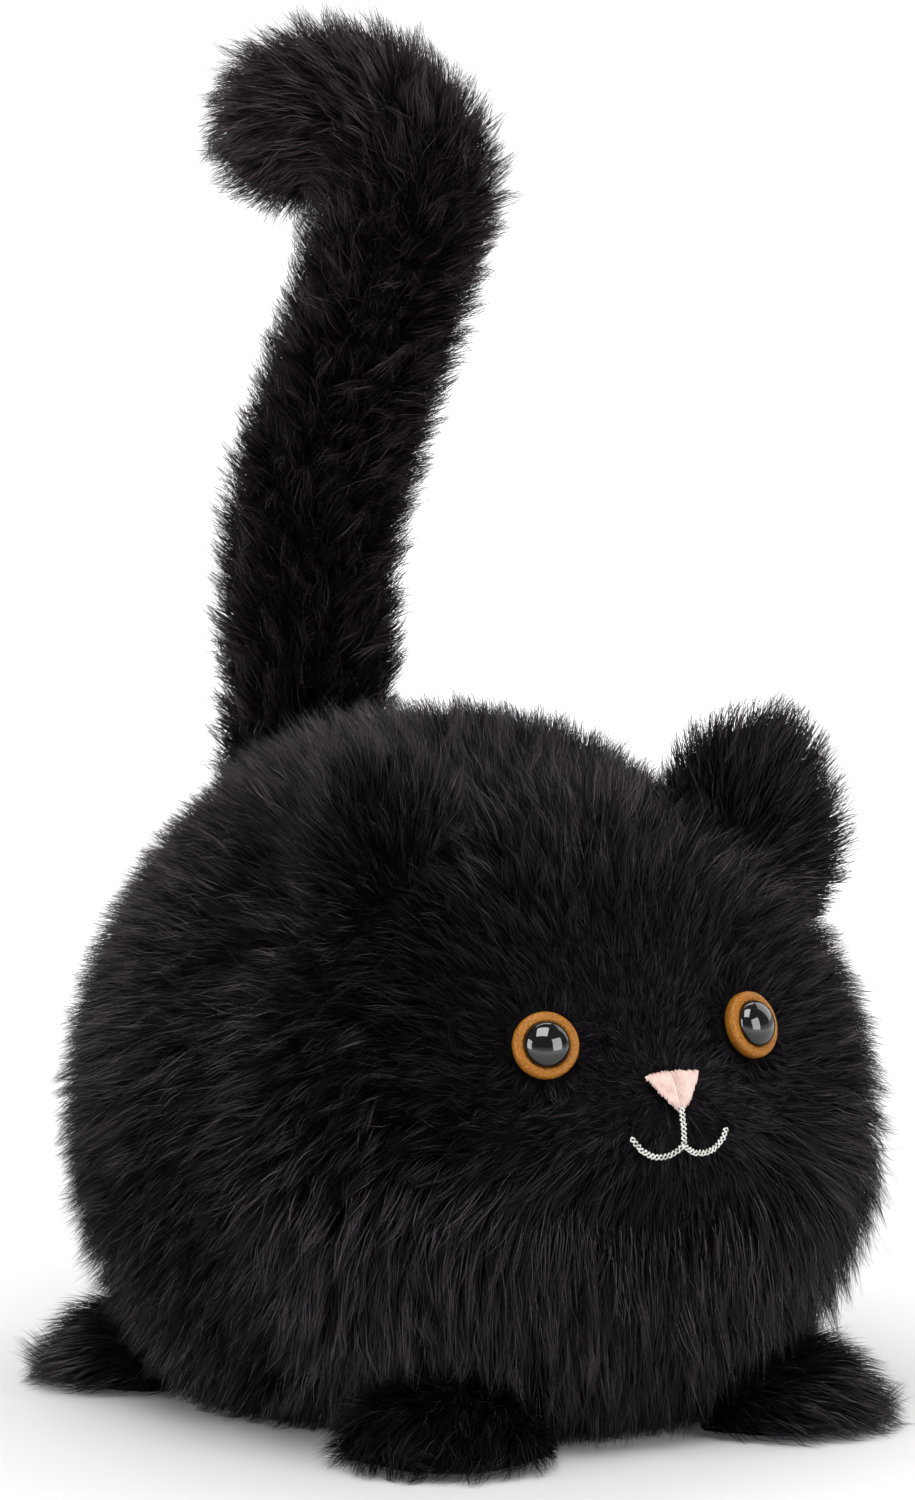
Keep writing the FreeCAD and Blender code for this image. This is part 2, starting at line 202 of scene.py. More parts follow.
def fibre(name, roughness, gloss, shades):
    """Pile fibre: one shade for each column of the strand map, darker towards the root as painted shade down
    in the pile.
    """
    made, tree, shader = principled(name, roughness, Specular_IOR_Level=gloss, Specular_Tint=FIBRE_SHEEN)
    place = tree.nodes.new("ShaderNodeUVMap")
    place.uv_map = "OFBake"
    split = tree.nodes.new("ShaderNodeSeparateXYZ")
    tree.links.new(place.outputs["UV"], split.inputs["Vector"])
    stops = [(i / len(shades), shade) for i, shade in enumerate(shades)]
    own = ramp(tree, split.outputs["X"], stops, constant=True)
    # Painted shade: each strand darkens towards its root, where the pile around it shades it.
    along = ramp(tree, split.outputs["Y"], ((0.0, (ROOT_PAINTED_SHADE,) * 3), (0.75, (1.0, 1.0, 1.0))))
    mix = tree.nodes.new("ShaderNodeMix")
    mix.data_type = "RGBA"
    mix.blend_type = "MULTIPLY"
    mix.inputs["Factor"].default_value = 1.0
    tree.links.new(own, mix.inputs["A"])
    tree.links.new(along, mix.inputs["B"])
    tree.links.new(mix.outputs["Result"], shader.inputs["Base Color"])
    return made


def coat(name, roughness, gloss, share, tint=(1.0, 1.0, 1.0)):
    """The two fibres of a fur fabric: a dull undercoat, darkened as painted shade between the strands, and
    the glossier pile over it.

    share and tint scale the shades of black, the first in all three colours and the second in each.
    """
    over = [tuple(share * value * t for value, t in zip(shade, tint)) for shade in BLACK_SHADES]
    # Painted shade: the undercoat is darker still, standing for the shade between the strands.
    under = [tuple(UNDERCOAT_PAINTED_SHADE * value for value in shade) for shade in over]
    return {
        "undercoat": fibre(f"{name}_undercoat", 0.5, 0.1, under),
        "pile": fibre(f"{name}_pile", roughness, gloss, over),
    }


# ---------------------------------------------------------------- meshes


def new_object(name, vertices, faces, material, body=None):
    """A smooth-shaded mesh object from millimetres, riding on a body if one is given."""
    mesh = bpy.data.meshes.new(name)
    mesh.from_pydata((np.asarray(vertices) * MM).tolist(), [], faces)
    mesh.materials.append(material)
    mesh.shade_smooth()
    made = bpy.data.objects.new(name, mesh)
    bpy.context.scene.collection.objects.link(made)
    if body:
        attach(made, body)
    return made


def loft(rings):
    """Vertices and faces of a closed form through rings of equal length, capped at both ends."""
    rings = np.asarray(rings)
    count, around = rings.shape[:2]
    vertices = np.concatenate([rings.reshape(-1, 3), rings[0].mean(0)[None], rings[-1].mean(0)[None]])
    first, last = count * around, count * around + 1
    faces = []
    for i in range(count - 1):
        for j in range(around):
            k = (j + 1) % around
            faces.append((i * around + j, i * around + k, (i + 1) * around + k, (i + 1) * around + j))
    for j in range(around):
        k = (j + 1) % around
        faces.append((first, k, j))
        faces.append((last, (count - 1) * around + j, (count - 1) * around + k))
    # Where the volume under the faces comes out negative, they look inwards and are turned over.
    corners = np.array([face[:3] for face in faces])
    a, b, c = (vertices[corners[:, i]] - vertices.mean(0) for i in range(3))
    if (a * np.cross(b, c)).sum() < 0:
        faces = [face[::-1] for face in faces]
    return vertices, faces


def lobe_reach(centre, semi, origin, directions):
    """How far from origin each direction leaves an ellipsoid, or 0 where it misses it."""
    shifted = (origin - np.array(centre)) / semi
    scaled = directions / np.array(semi)
    a = (scaled**2).sum(1)
    b = scaled @ shifted
    c = shifted @ shifted - 1
    inside = b * b - a * c
    return np.where(inside > 0, (np.sqrt(np.maximum(inside, 0)) - b) / a, 0).clip(0)


def star(lobes, origin, floor, rings, around, cut=None):
    """Rings of a skin round origin over lobes run together, flat on its floor and on a cut plane.

    The cut is the plane's normal, which points into the form, and its distance along that from 0.
    """
    polar = np.linspace(0, math.pi, rings + 2)[1:-1]
    turn = np.linspace(0, 2 * math.pi, around, endpoint=False)
    polar, turn = np.meshgrid(polar, turn, indexing="ij")
    across = np.sin(polar)
    ways = np.stack([across * np.cos(turn), across * np.sin(turn), -np.cos(polar)], -1).reshape(-1, 3)
    reach = sum(lobe_reach(*lobe, origin, ways) ** LOBE_BLEND for lobe in lobes) ** (1 / LOBE_BLEND)
    down = np.maximum(-ways[:, 2], 1e-6)
    reach = np.minimum(reach, (origin[2] - floor) / down)
    if cut is not None:
        normal, offset = cut
        against = np.maximum(-(ways @ normal), 1e-6)
        reach = np.minimum(reach, (origin @ normal - offset) / against)
    return (origin + ways * reach[:, None]).reshape(rings, around, 3)


def shrunk(lobes, inset):
    """The lobes, with every semi-axis shorter by the inset."""
    return [(centre, tuple(s - inset for s in semi)) for centre, semi in lobes]


# ---------------------------------------------------------------- pile


def scatter(obj, per_mm2, rng):
    """Random roots on a skin, even over its area: their places and smooth surface normals, in mm."""
    mesh = obj.data
    mesh.calc_loop_triangles()
    corners = np.empty(len(mesh.loop_triangles) * 3, np.int32)
    mesh.loop_triangles.foreach_get("vertices", corners)
    corners = corners.reshape(-1, 3)
    places = np.empty(len(mesh.vertices) * 3, np.float32)
    mesh.vertices.foreach_get("co", places)
    places = places.reshape(-1, 3).astype(float) / MM
    normals = np.empty(len(mesh.vertices) * 3, np.float32)
    mesh.vertices.foreach_get("normal", normals)
    normals = normals.reshape(-1, 3).astype(float)
    a, b, c = (places[corners[:, i]] for i in range(3))
    area = np.linalg.norm(np.cross(b - a, c - a), axis=1) / 2
    picked = np.repeat(np.arange(len(area)), rng.poisson(area * per_mm2))
    u, v = rng.random((2, len(picked)))
    u, v = np.where(u + v > 1, 1 - u, u), np.where(u + v > 1, 1 - v, v)
    weights = np.stack([1 - u - v, u, v], 1)[:, :, None]
    chosen = corners[picked]
    return (places[chosen] * weights).sum(1), unit((normals[chosen] * weights).sum(1))


def tangent(flow, normals):
    """The part of a flow that runs along the surface, at length 1."""
    return unit(flow - (flow * normals).sum(1, keepdims=True) * normals)


def grow(roots, normals, flow, length, lean, rng, wild, gather):
    """Strands as points at each station. lean is (root, tip) angles from the normal, in degrees.

    wild is how far each strand strays from the flow, and gather how far its tip is drawn into its tuft.
    """
    count = len(roots)
    wild = (wild * np.ones(count))[:, None]
    comb = tangent(flow, normals)
    ways = []
    for angle in lean:
        turn = np.radians(angle) * np.ones(count)
        way = normals * np.cos(turn)[:, None] + comb * np.sin(turn)[:, None]
        ways.append(unit(way + wild * rng.normal(0, 1, (count, 3))))
    length = (length * rng.uniform(0.75, 1.1, count))[:, None]
    # A strand's heading turns evenly from its first way to its second.
    lines = np.stack(
        [roots + length * (ways[0] * (t - t * t / 2) + ways[1] * (t * t / 2)) for t in STATIONS], 1
    )
    # Each strand is drawn to the nearest of the strands chosen to lead, and most at its tip.
    leaders = rng.choice(count, max(1, count // TUFT), replace=False)
    tree = kdtree.KDTree(len(leaders))
    for i, leader in enumerate(leaders):
        tree.insert(roots[leader], i)
    tree.balance()
    mine = leaders[[tree.find(root)[1] for root in roots]]
    strength = gather * rng.uniform(0.6, 1.2, count)
    for i, t in enumerate(STATIONS):
        pull = (strength * t**1.3)[:, None]
        lines[:, i] += (lines[mine, i] - lines[:, i]) * pull
    # No strand goes through the floor.
    lines[:, :, 2] = np.maximum(lines[:, :, 2], 0.15)
    return lines


def strand_mesh(name, lines, width, material, rng):
    """Strands as thin tapering ribbons, each with its own column of the strand map."""
    count = len(lines)
    along = unit(lines[:, -1] - lines[:, 0])
    side = unit(np.cross(along, rng.normal(0, 1, (count, 3))))
    half = (width * rng.uniform(0.7, 1.3, count))[:, None] / 2
    rows = []
    for i, share in enumerate(TAPER):
        rows += [lines[:, i] - side * half * share, lines[:, i] + side * half * share]
    rows.append(lines[:, -1])
    tip = len(rows) - 1
    vertices = np.stack(rows, 1).reshape(-1, 3) * MM
    # A strand's corners: a four-sided face, another, and a triangle at the tip, and where each face starts.
    pattern = np.array((0, 1, 3, 2, 2, 3, 5, 4, 4, 5, tip))
    starts = np.array((0, 4, 8))
    loops = (np.arange(count)[:, None] * len(rows) + pattern).ravel()
    begins = (np.arange(count)[:, None] * len(pattern) + starts).ravel()
    mesh = bpy.data.meshes.new(name)
    mesh.vertices.add(len(vertices))
    mesh.vertices.foreach_set("co", vertices.astype(np.float32).ravel())
    mesh.loops.add(len(loops))
    mesh.loops.foreach_set("vertex_index", loops.astype(np.int32))
    mesh.polygons.add(len(begins))
    mesh.polygons.foreach_set("loop_start", begins.astype(np.int32))
    mesh.update(calc_edges=True)
    mesh.shade_smooth()
    # The map has a column for each shade, and a strand lies inside one from its root to its tip.
    shades = len(BLACK_SHADES)
    shade = rng.integers(0, shades, count)
    left, right = (shade + 0.1) / shades, (shade + 0.9) / shades
    edge = {0: left, 1: right}
    across = [(left + right) / 2 if p == tip else edge[p % 2] for p in pattern]
    up = [np.full(count, 0.02 + 0.96 * STATIONS[p // 2]) for p in pattern]
    coordinates = np.stack([np.stack(across, 1), np.stack(up, 1)], -1)
    layer = mesh.uv_layers.new(name="OFBake")
    layer.data.foreach_set("uv", coordinates.astype(np.float32).ravel())
    mesh.materials.append(material)
    made = bpy.data.objects.new(name, mesh)
    bpy.context.scene.collection.objects.link(made)
    return made


def pile(name, lines, width, material, rng, pieces, carry):
    """Strands as one or more objects, split round the cat. carry is called on each, to put it on its body or
    bake its place.
    """
    order = np.argsort(np.arctan2(lines[:, 0, 0], -lines[:, 0, 1]), kind="stable")
    for number, part in enumerate(np.array_split(order, pieces), 1):
        title = name if pieces == 1 else f"{name}_{number}"
        carry(strand_mesh(title, lines[part], width, material, rng))


# ---------------------------------------------------------------- trunk


def chest_share(places):
    """1 on the chest, below the face, and 0 away from it."""
    return smooth(-12, -24, places[:, 1]) * smooth(39, 33, places[:, 2])


def trunk_flow(places):
    """Which way the trunk's pile is brushed: out from the nose on the face, back on top, and else down."""
    from_nose = places - NOSE
    far = np.linalg.norm(from_nose, axis=1)
    face = (1 - smooth(24, 44, far)) * smooth(6, -6, places[:, 1])
    face *= smooth(28, 40, places[:, 2])
    high = smooth(30, 75, places[:, 2])
    behind = smooth(-30, -8, places[:, 1])
    body = np.stack([0 * far, behind * (0.35 + 0.65 * high), -1 + 0.75 * high * behind], 1)
    return unit(from_nose) * face[:, None] + body * (1 - face)[:, None]


def trunk_length(places):
    """How long the trunk's pile is, in mm. It is shorter where the tail leans over it."""
    far = np.linalg.norm(places - NOSE, axis=1)
    face = NOSE_PILE + FACE_SLOPE * far
    full = FULL_PILE + CHEST_PILE * chest_share(places)
    # The face's short pile reaches 18 to 38 mm from the nose, and only 7 to 16 mm below it.
    below = smooth(-3, -8, places[:, 2] - NOSE[2])
    reach = smooth(18 - 11 * below, 38 - 22 * below, far)
    from_tail = np.hypot(places[:, 0], places[:, 1] - TAIL_BASE[1] + 6)
    worn = 1 - TAIL_WEAR * smooth(21, 11, from_tail) * smooth(50, 60, places[:, 2])
    return (face * (1 - reach) + full * reach) * worn


def on_face(places):
    """Which places are on the face fabric, whose pile is shorter and finer. Its edge wanders a little."""
    x, y, z = places.T
    wander = 1.0 + 0.08 * np.sin(0.9 * x + 0.6 * z) * np.sin(0.7 * z - 0.5 * x)
    return (y < FACE_BACK_Y) & ((x / FACE_SEMI_X) ** 2 + ((z - FACE_Z) / FACE_SEMI_Z) ** 2 < wander)


def on_skin(tree, x, z, raised):
    """The place on the front of the trunk's skin at x and z, raised away from the muzzle's middle."""
    hit = np.array(tree.ray_cast(Vector((x, -100, z)), Vector((0, 1, 0)))[0])
    return hit + unit(hit - np.array(TRUNK_LOBES[2][0])) * raised


def lip_points(count):
    """(x, z) along the mouth: down the middle, then out along each lip."""
    low = LIP_Z - LIP_SEMI_Z * math.sqrt(1 - (LIP_X / LIP_SEMI_X) ** 2)
    lines = [[(0.0, z) for z in np.linspace(NOSE_BOTTOM + 0.2, low, count)]]
    begin = math.acos(-LIP_X / LIP_SEMI_X)
    end = -math.asin((LIP_Z - LIP_END_Z) / LIP_SEMI_Z)
    for side in SIDES.values():
        turns = np.linspace(2 * math.pi - begin, 2 * math.pi + end, count)
        ellipse = [(LIP_X + LIP_SEMI_X * math.cos(t), LIP_Z + LIP_SEMI_Z * math.sin(t)) for t in turns]
        lines.append([(side * x, z) for x, z in ellipse])
    return lines


def clear_of_features(places):
    """Roots that aren't under an eye, the nose or the mouth's thread."""
    x, y, z = places.T
    front = y < -20
    keep = np.ones(len(places), bool)
    for side in SIDES.values():
        keep &= ~(front & (np.hypot(x - side * EYE_X, z - EYE_Z) < IRIS_RADIUS - 0.35))
    share = (z - NOSE_BOTTOM) / (NOSE_TOP - NOSE_BOTTOM)
    under_nose = (share > -0.05) & (share < 1.02) & (np.abs(x) < NOSE_HALF_WIDTH * share + 0.15)
    keep &= ~(front & under_nose)
    for line in lip_points(12):
        for px, pz in line:
            keep &= ~(front & (np.hypot(x - px, z - pz) < 0.4))
    return keep


def eye_frame(side):
    """Where an eye sits on the head, and the outward direction there."""
    centre, semi = TRUNK_LOBES[1]
    x, dz = EYE_X, EYE_Z - centre[2]
    dy = -semi[1] * math.sqrt(1 - (x / semi[0]) ** 2 - (dz / semi[2]) ** 2)
    out = unit(np.array((side * x / semi[0] ** 2, dy / semi[1] ** 2, dz / semi[2] ** 2)))
    return np.array((side * x, centre[1] + dy, EYE_Z)), out


def lathe(profile, place, out, around=64):
    """A turned form from (radius, height) pairs, about the direction out."""
    first = unit(np.cross(out, (0.0, 0.0, 1.0)))
    second = np.cross(out, first)
    rings = []
    for radius, height in profile:
        turn = np.linspace(0, 2 * math.pi, around, endpoint=False)[:, None]
        rings.append(place + out * height + radius * (np.cos(turn) * first + np.sin(turn) * second))
    return loft(rings)


def tube(line, radius, around=6):
    """A round thread along a line of points."""
    line = np.asarray(line)
    heading = unit(np.gradient(line, axis=0))
    first = unit(np.cross(heading, (0.31, 0.22, 0.92)))
    second = np.cross(heading, first)
    turns = np.linspace(0, 2 * math.pi, around, endpoint=False)
    ring = first[:, None] * np.cos(turns)[:, None] + second[:, None] * np.sin(turns)[:, None]
    return loft(line[:, None] + radius * ring)


def joined(forms):
    """Several (vertices, faces) as one."""
    vertices, faces, shift = [], [], 0
    for points, polygons in forms:
        vertices.append(points)
        faces += [tuple(i + shift for i in polygon) for polygon in polygons]
        shift += len(points)
    return np.concatenate(vertices), faces


def eyes(iris_material, pupil_material):
    """Each toy eye: a rounded ring, and the domed pupil set in it."""
    top = IRIS_PROUD
    for name, side in SIDES.items():
        place, out = eye_frame(side)
        # (radius, height) pairs: the back and side, the rounded rim with its flat face, the pupil's seat.
        rim = [(3.0, -0.4), (3.7, -0.4), (IRIS_RADIUS, 0.0), (IRIS_RADIUS, top - 0.5)]
        rim += [(3.93, top - 0.3), (3.8, top - 0.14), (3.55, top - 0.03), (3.2, top), (2.88, top)]
        rim += [(PUPIL_RADIUS + 0.03, top - 0.06), (PUPIL_RADIUS, top - 0.3), (1.0, top - 0.3)]
        iris = new_object(f"eye_{name}_ring", *lathe(rim, place, out), iris_material, "body")
        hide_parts(f"eye_{name}_iris")
        dome = [(PUPIL_RADIUS, top - 0.3)]
        for share in np.linspace(0, 1, 14)[:-1]:
            angle = share * math.pi / 2
            dome.append((PUPIL_RADIUS * math.cos(angle), top - 0.04 + PUPIL_RISE * math.sin(angle)))
        pupil = new_object(f"eye_{name}_dome", *lathe(dome, place, out), pupil_material, "body")
        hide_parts(f"eye_{name}_pupil")


def nose(tree, material):
    """Satin stitches: upright threads side by side, sunk at the seam in the middle."""
    rng = np.random.default_rng(SEED + 1)
    threads = []
    for side in SIDES.values():
        for x in np.arange(0.1, NOSE_HALF_WIDTH + 0.2, NOSE_STEP):
            share = x / (NOSE_HALF_WIDTH + 0.2)
            top = NOSE_TOP - 0.35 * share**2 + rng.uniform(-0.08, 0.08)
            low = NOSE_BOTTOM + (NOSE_TOP - NOSE_BOTTOM) * share**1.25 - 0.5 + rng.uniform(-0.12, 0.12)
            seam = 0.3 * (1 - min(share / 0.15, 1))
            along = np.linspace(0, 1, 9)
            swell = 0.55 + 0.35 * np.sin(np.pi * along) ** 0.5 - seam
            line = [
                on_skin(tree, side * x, top + (low - top) * t, SKIN_INSET + up) for t, up in zip(along, swell)
            ]
            threads.append(tube(line, THREAD_RADIUS))
    made = new_object("nose_threads", *joined(threads), material, "body")
    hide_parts("nose_stitching")


def mouth(tree, material):
    """A chain stitch: two threads that cross over and over, a little unevenly."""
    rng = np.random.default_rng(SEED + 5)
    threads = []
    for line in lip_points(90):
        flat = np.array([on_skin(tree, x, z, SKIN_INSET + 0.75) for x, z in line])
        heading = unit(np.gradient(flat, axis=0))
        across = unit(np.cross(heading, (0.0, -1.0, 0.0)))
        out = np.cross(across, heading)
        run = np.concatenate([[0], np.cumsum(np.linalg.norm(np.diff(flat, axis=0), axis=1))])
        stray = rng.normal(0, 0.05, (len(flat), 1)) * across
        for phase in (0.0, math.pi):
            turn = (run * 2 * math.pi / CHAIN_PERIOD + phase)[:, None]
            loop = CHAIN_SWING * np.cos(turn) * across + CHAIN_RISE * np.sin(turn) * out
            threads.append(tube(flat + stray + loop, THREAD_RADIUS))
    made = new_object("mouth_threads", *joined(threads), material, "body")
    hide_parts("mouth_stitching")


def trunk(skin_material, fur, face_fur, nose_material, mouth_material):
    """The trunk's cloth, the embroidery on it, and its pile: long, and shorter on the face."""
    rng = np.random.default_rng(SEED)
    lobes = shrunk(TRUNK_LOBES, SKIN_INSET)
    rings = star(lobes, TRUNK_CENTRE, floor=0.2, rings=72, around=128)
    skin = new_object("trunk_cloth", *loft(rings), skin_material, "body")
    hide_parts("belly_panel", "chest_panel", "face_panel", "side_panel_left", "side_panel_right")
    points = [Vector(v.co) / MM for v in skin.data.vertices]
    tree = BVHTree.FromPolygons(points, [tuple(p.vertices) for p in skin.data.polygons])
    nose(tree, nose_material)
    mouth(tree, mouth_material)

    def carry_long(piece):
        """Long pile rides on the trunk."""
        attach(piece, "body")

    def carry_face(piece):
        """So does the face's."""
        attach(piece, "body")

    for title, layer in TRUNK_FUR.items():
        roots, normals = scatter(skin, layer.density, rng)
        # The flat of the belly has no pile.
        keep = clear_of_features(roots) & (normals[:, 2] > -0.93)
        roots, normals = roots[keep], normals[keep]
        flow = trunk_flow(roots)
        length = trunk_length(roots) * layer.length
        face = smooth(34, 12, np.linalg.norm(roots - NOSE, axis=1))
        chest = chest_share(roots)
        # Round each eye the pile is brushed away from it.
        for side in SIDES.values():
            place, _ = eye_frame(side)
            away = roots - place
            near = smooth(8, 4.5, np.linalg.norm(away, axis=1))[:, None]
            flow = flow * (1 - near) + unit(away) * near
        # The pile lies flatter and straighter on the face and chest than on the back and sides.
        lean = (18 + 37 * face + 10 * chest, 40 + 30 * face + 32 * chest)
        wild = 0.3 - 0.12 * chest - 0.06 * face
        lines = grow(roots, normals, flow, length, lean, rng, wild=wild, gather=0.75 + 0.2 * chest)
        front = on_face(roots)
        pile(f"trunk_{title}", lines[~front], layer.width, fur[title], rng, layer.pieces, carry_long)
        width = layer.width * FACE_WIDTH_SHARE
        pile(f"face_{title}", lines[front], width, face_fur[title], rng, 1, carry_face)


# ---------------------------------------------------------------- tail


def tail_line():
    """The tail's centre line as (lean, height, heading in radians), in the plane of its lean."""
    points = [(0.0, z, 0.0) for z in np.linspace(TAIL_ROOT_Z, TAIL_MIDDLE_Z, 16)]

    def bend(radius, degrees, steps):
        """Go on round an arc, with the lean or, where the angle is negative, back from it."""
        side = math.copysign(1, degrees)
        lean, z, heading = points[-1]
        centre = (lean + side * radius * math.cos(heading), z - side * radius * math.sin(heading))
        for share in np.linspace(0, 1, steps + 1)[1:]:
            now = heading + math.radians(degrees) * share
            out = side * radius
            points.append((centre[0] - out * math.cos(now), centre[1] + out * math.sin(now), now))

    def run(length, steps):
        """Go on straight."""
        lean, z, heading = points[-1]
        for share in np.linspace(0, 1, steps + 1)[1:]:
            far = length * share
            points.append((lean + far * math.sin(heading), z + far * math.cos(heading), heading))

    bend(LEAN_RADIUS, LEAN_ANGLE, 10)
    run(LEAN_RUN, 12)
    bend(HOOK_RADIUS, -HOOK_ANGLE, 24)
    run(HOOK_RUN, 3)
    return points


def tail_rings(points, rounded):
    """Rings round the tail's line, and round its end if asked."""
    turn = np.linspace(0, 2 * math.pi, 32, endpoint=False)[:, None]

    def ring(lean, z, heading, radius, ahead=0.0):
        """A circle across the line, moved ahead along it."""
        forward = TAIL_LEAN * math.sin(heading) + np.array((0, 0, 1)) * math.cos(heading)
        first = TAIL_LEAN * math.cos(heading) - np.array((0, 0, 1)) * math.sin(heading)
        middle = TAIL_BASE + TAIL_LEAN * lean + np.array((0, 0, z)) + forward * ahead
        return middle + radius * (np.cos(turn) * TAIL_ACROSS + np.sin(turn) * first)

    rings = [ring(*point, TAIL_RADIUS) for point in points]
    if rounded:
        for angle in np.linspace(0, math.pi / 2, 9)[1:-1]:
            rings.append(ring(*points[-1], TAIL_RADIUS * math.cos(angle), TAIL_RADIUS * math.sin(angle)))
    return rings


def tail(skin_material, fur):
    """The tail's cloth and pile in two lengths."""
    rng = np.random.default_rng(SEED + 2)
    points = tail_line()
    centres = np.array([TAIL_BASE + TAIL_LEAN * lean + (0, 0, z) for lean, z, _ in points])
    headings = np.array([TAIL_LEAN * math.sin(h) + np.array((0, 0, 1)) * math.cos(h) for _, _, h in points])
    tree = kdtree.KDTree(len(centres))
    for i, centre in enumerate(centres):
        tree.insert(centre, i)
    tree.balance()
    # The cloth of the two lengths overlaps a little at the split.
    low_part = [point for point in points if point[1] <= TAIL_SPLIT_Z + 1]
    high_part = [point for point in points if point[1] > TAIL_SPLIT_Z - 3]
    lengths = {
        "tail_lower": ("body", "tail_lower", TAIL_TILT_Z, low_part),
        "tail_upper": ("tail_lower", "tail_upper", TAIL_BEND_Z, high_part),
    }
    for name, (below, above, (start, end), part) in lengths.items():
        upper = name == "tail_upper"
        skin = new_object(f"{name}_cloth", *loft(tail_rings(part, upper)), skin_material)
        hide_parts(f"{name}_panel_left", f"{name}_panel_right", f"{name}_filling")

        def carry(piece, below=below, above=above, start=start, end=end):
            """Bakes the pile's place into its mesh."""
            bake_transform(piece)

        for title, layer in TAIL_FUR.items():
            roots, normals = scatter(skin, layer.density, rng)
            in_part = roots[:, 2] > TAIL_SPLIT_Z if upper else roots[:, 2] < TAIL_SPLIT_Z
            roots, normals = roots[in_part], normals[in_part]
            flow = headings[[tree.find(root)[1] for root in roots]]
            lines = grow(roots, normals, flow, layer.length, TAIL_LAY, rng, wild=0.3, gather=0.85)
            pile(f"{name}_{title}", lines, layer.width, fur[title], rng, layer.pieces, carry)
        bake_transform(skin)


# ---------------------------------------------------------------- ears and paws


def ears(skin_material, fur):
    """Each ear's cloth, a flat pad that narrows to its tip, and its pile, brushed up and outwards."""
    for name, side in SIDES.items():
        rng = np.random.default_rng(SEED + 3)
        mirror = np.array((side, 1.0, 1.0))
        inner, outer, tip = EAR_INNER_END * mirror, EAR_OUTER_END * mirror, EAR_TIP * mirror
        middle = (inner + outer) / 2
        along = unit(outer - inner)
        to_tip = tip - middle
        up = unit(to_tip - along * (to_tip @ along))
        height, shift = to_tip @ up, to_tip @ along
        front = unit(np.cross(along, up))
        turn = np.linspace(0, 2 * math.pi, 40, endpoint=False)[:, None]
        rings = []
        # The first rings are below the seam, inside the trunk.
        for share in np.linspace(-0.1, 1, 22):
            narrow = 1 - max(share, 0) ** 2.3
            wide = EAR_HALF_BASE * narrow**0.8 + 0.3
            thick = EAR_HALF_THICK * narrow**0.5 + 0.2
            centre = middle + up * height * share * 0.98 + along * shift * max(share, 0)
            rings.append(centre + wide * np.cos(turn) * along + thick * np.sin(turn) * front)
        body = f"ear_{name}"
        skin = new_object(f"{body}_cloth", *loft(rings), skin_material, body)
        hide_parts(f"ear_{name}_front", f"ear_{name}_back")

        def carry(piece, body=body):
            """The pile rides on its ear."""
            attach(piece, body)

        for title, layer in EAR_FUR.items():
            roots, normals = scatter(skin, layer.density, rng)
            keep = (roots - middle) @ up > 0
            roots, normals = roots[keep], normals[keep]
            # The pile is shorter by the seam, so that it stays out of the trunk's when the ear folds.
            own = layer.length * (0.45 + 0.55 * smooth(0, 8, (roots - middle) @ up))
            from_root = roots - (middle - up * 3)
            flow = from_root - (from_root @ front)[:, None] * front
            lines = grow(roots, normals, flow, own, EAR_LAY, rng, wild=0.26, gather=0.55)
            pile(f"{body}_{title}", lines, layer.width, fur[title], rng, layer.pieces, carry)


def paws(skin_material, fur):
    """Each paw's cloth, a flat-bottomed ellipsoid cut off at its inner end, and its pile."""
    for end, place in PAWS.items():
        for name, side in SIDES.items():
            rng = np.random.default_rng(SEED + 4)
            points = unit(np.array((side * place["points"][0], place["points"][1], 0.0)))
            heading = math.atan2(points[1], points[0])
            tip = np.array((side * place["tip"][0], place["tip"][1], 0.0))
            middle = tip - points * PAW_SEMI[0]
            lobes = [((0, 0, 0), tuple(PAW_SEMI - 0.5))]
            behind = (np.array((1.0, 0.0, 0.0)), PAW_SEMI[0] - place["length"] - 1.5)
            rings = star(lobes, np.array((1.0, 0.0, 3.0)), floor=0.25, rings=24, around=48, cut=behind)
            ahead = (math.cos(heading), math.sin(heading), 0)
            aside = (-math.sin(heading), math.cos(heading), 0)
            rings = rings @ np.array((ahead, aside, (0, 0, 1))) + middle
            body = f"paw_{end}_{name}"
            skin = new_object(f"{body}_cloth", *loft(rings), skin_material, body)
            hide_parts(f"{body}_upper", f"{body}_sole", f"{body}_filling")

            def carry(piece, body=body):
                """The pile rides on its paw."""
                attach(piece, body)

            for title, layer in PAW_FUR.items():
                roots, normals = scatter(skin, layer.density, rng)
                # The sole has no pile, and neither has the face of the cut.
                keep = (normals[:, 2] > -0.5) & ((roots - tip) @ points > -place["length"] - 1.3)
                roots, normals = roots[keep], normals[keep]
                flow = roots - (middle - points * 8) + np.array((0, 0, -3.0))
                from_inner_end = (roots - tip) @ points + place["length"] + 1.5
                own = layer.length * (0.4 + 0.6 * smooth(1, 9, from_inner_end))
                lines = grow(roots, normals, flow, own, PAW_LAY, rng, wild=0.22, gather=0.65)
                pile(f"{body}_{title}", lines, layer.width, fur[title], rng, layer.pieces, carry)


# ---------------------------------------------------------------- studio


def towards(azimuth, elevation):
    """The direction from the cat to a place at these angles, in degrees. Azimuth 0 is in front of it."""
    a, e = math.radians(azimuth), math.radians(elevation)
    return Vector((math.sin(a) * math.cos(e), -math.cos(a) * math.cos(e), math.sin(e)))


def aim(obj, place, target):
    """Put a light or camera in the scene at a place, looking at the target."""
    obj.location = place
    obj.rotation_euler = (target - place).to_track_quat("-Z", "Y").to_euler()
    bpy.context.scene.collection.objects.link(obj)


def backdrop():
    """The world behind and above."""
    world = bpy.data.worlds.new("studio")
    bpy.context.scene.world = world
    world.use_nodes = True
    tree = world.node_tree
    place = tree.nodes.new("ShaderNodeTexCoord")
    split = tree.nodes.new("ShaderNodeSeparateXYZ")
    tree.links.new(place.outputs["Generated"], split.inputs["Vector"])
    sky = ramp(tree, split.outputs["Z"], (WORLD_WHITE, WORLD_DIM))
    tree.links.new(sky, tree.nodes["Background"].inputs["Color"])
    bpy.context.scene.view_settings.view_transform = "Standard"


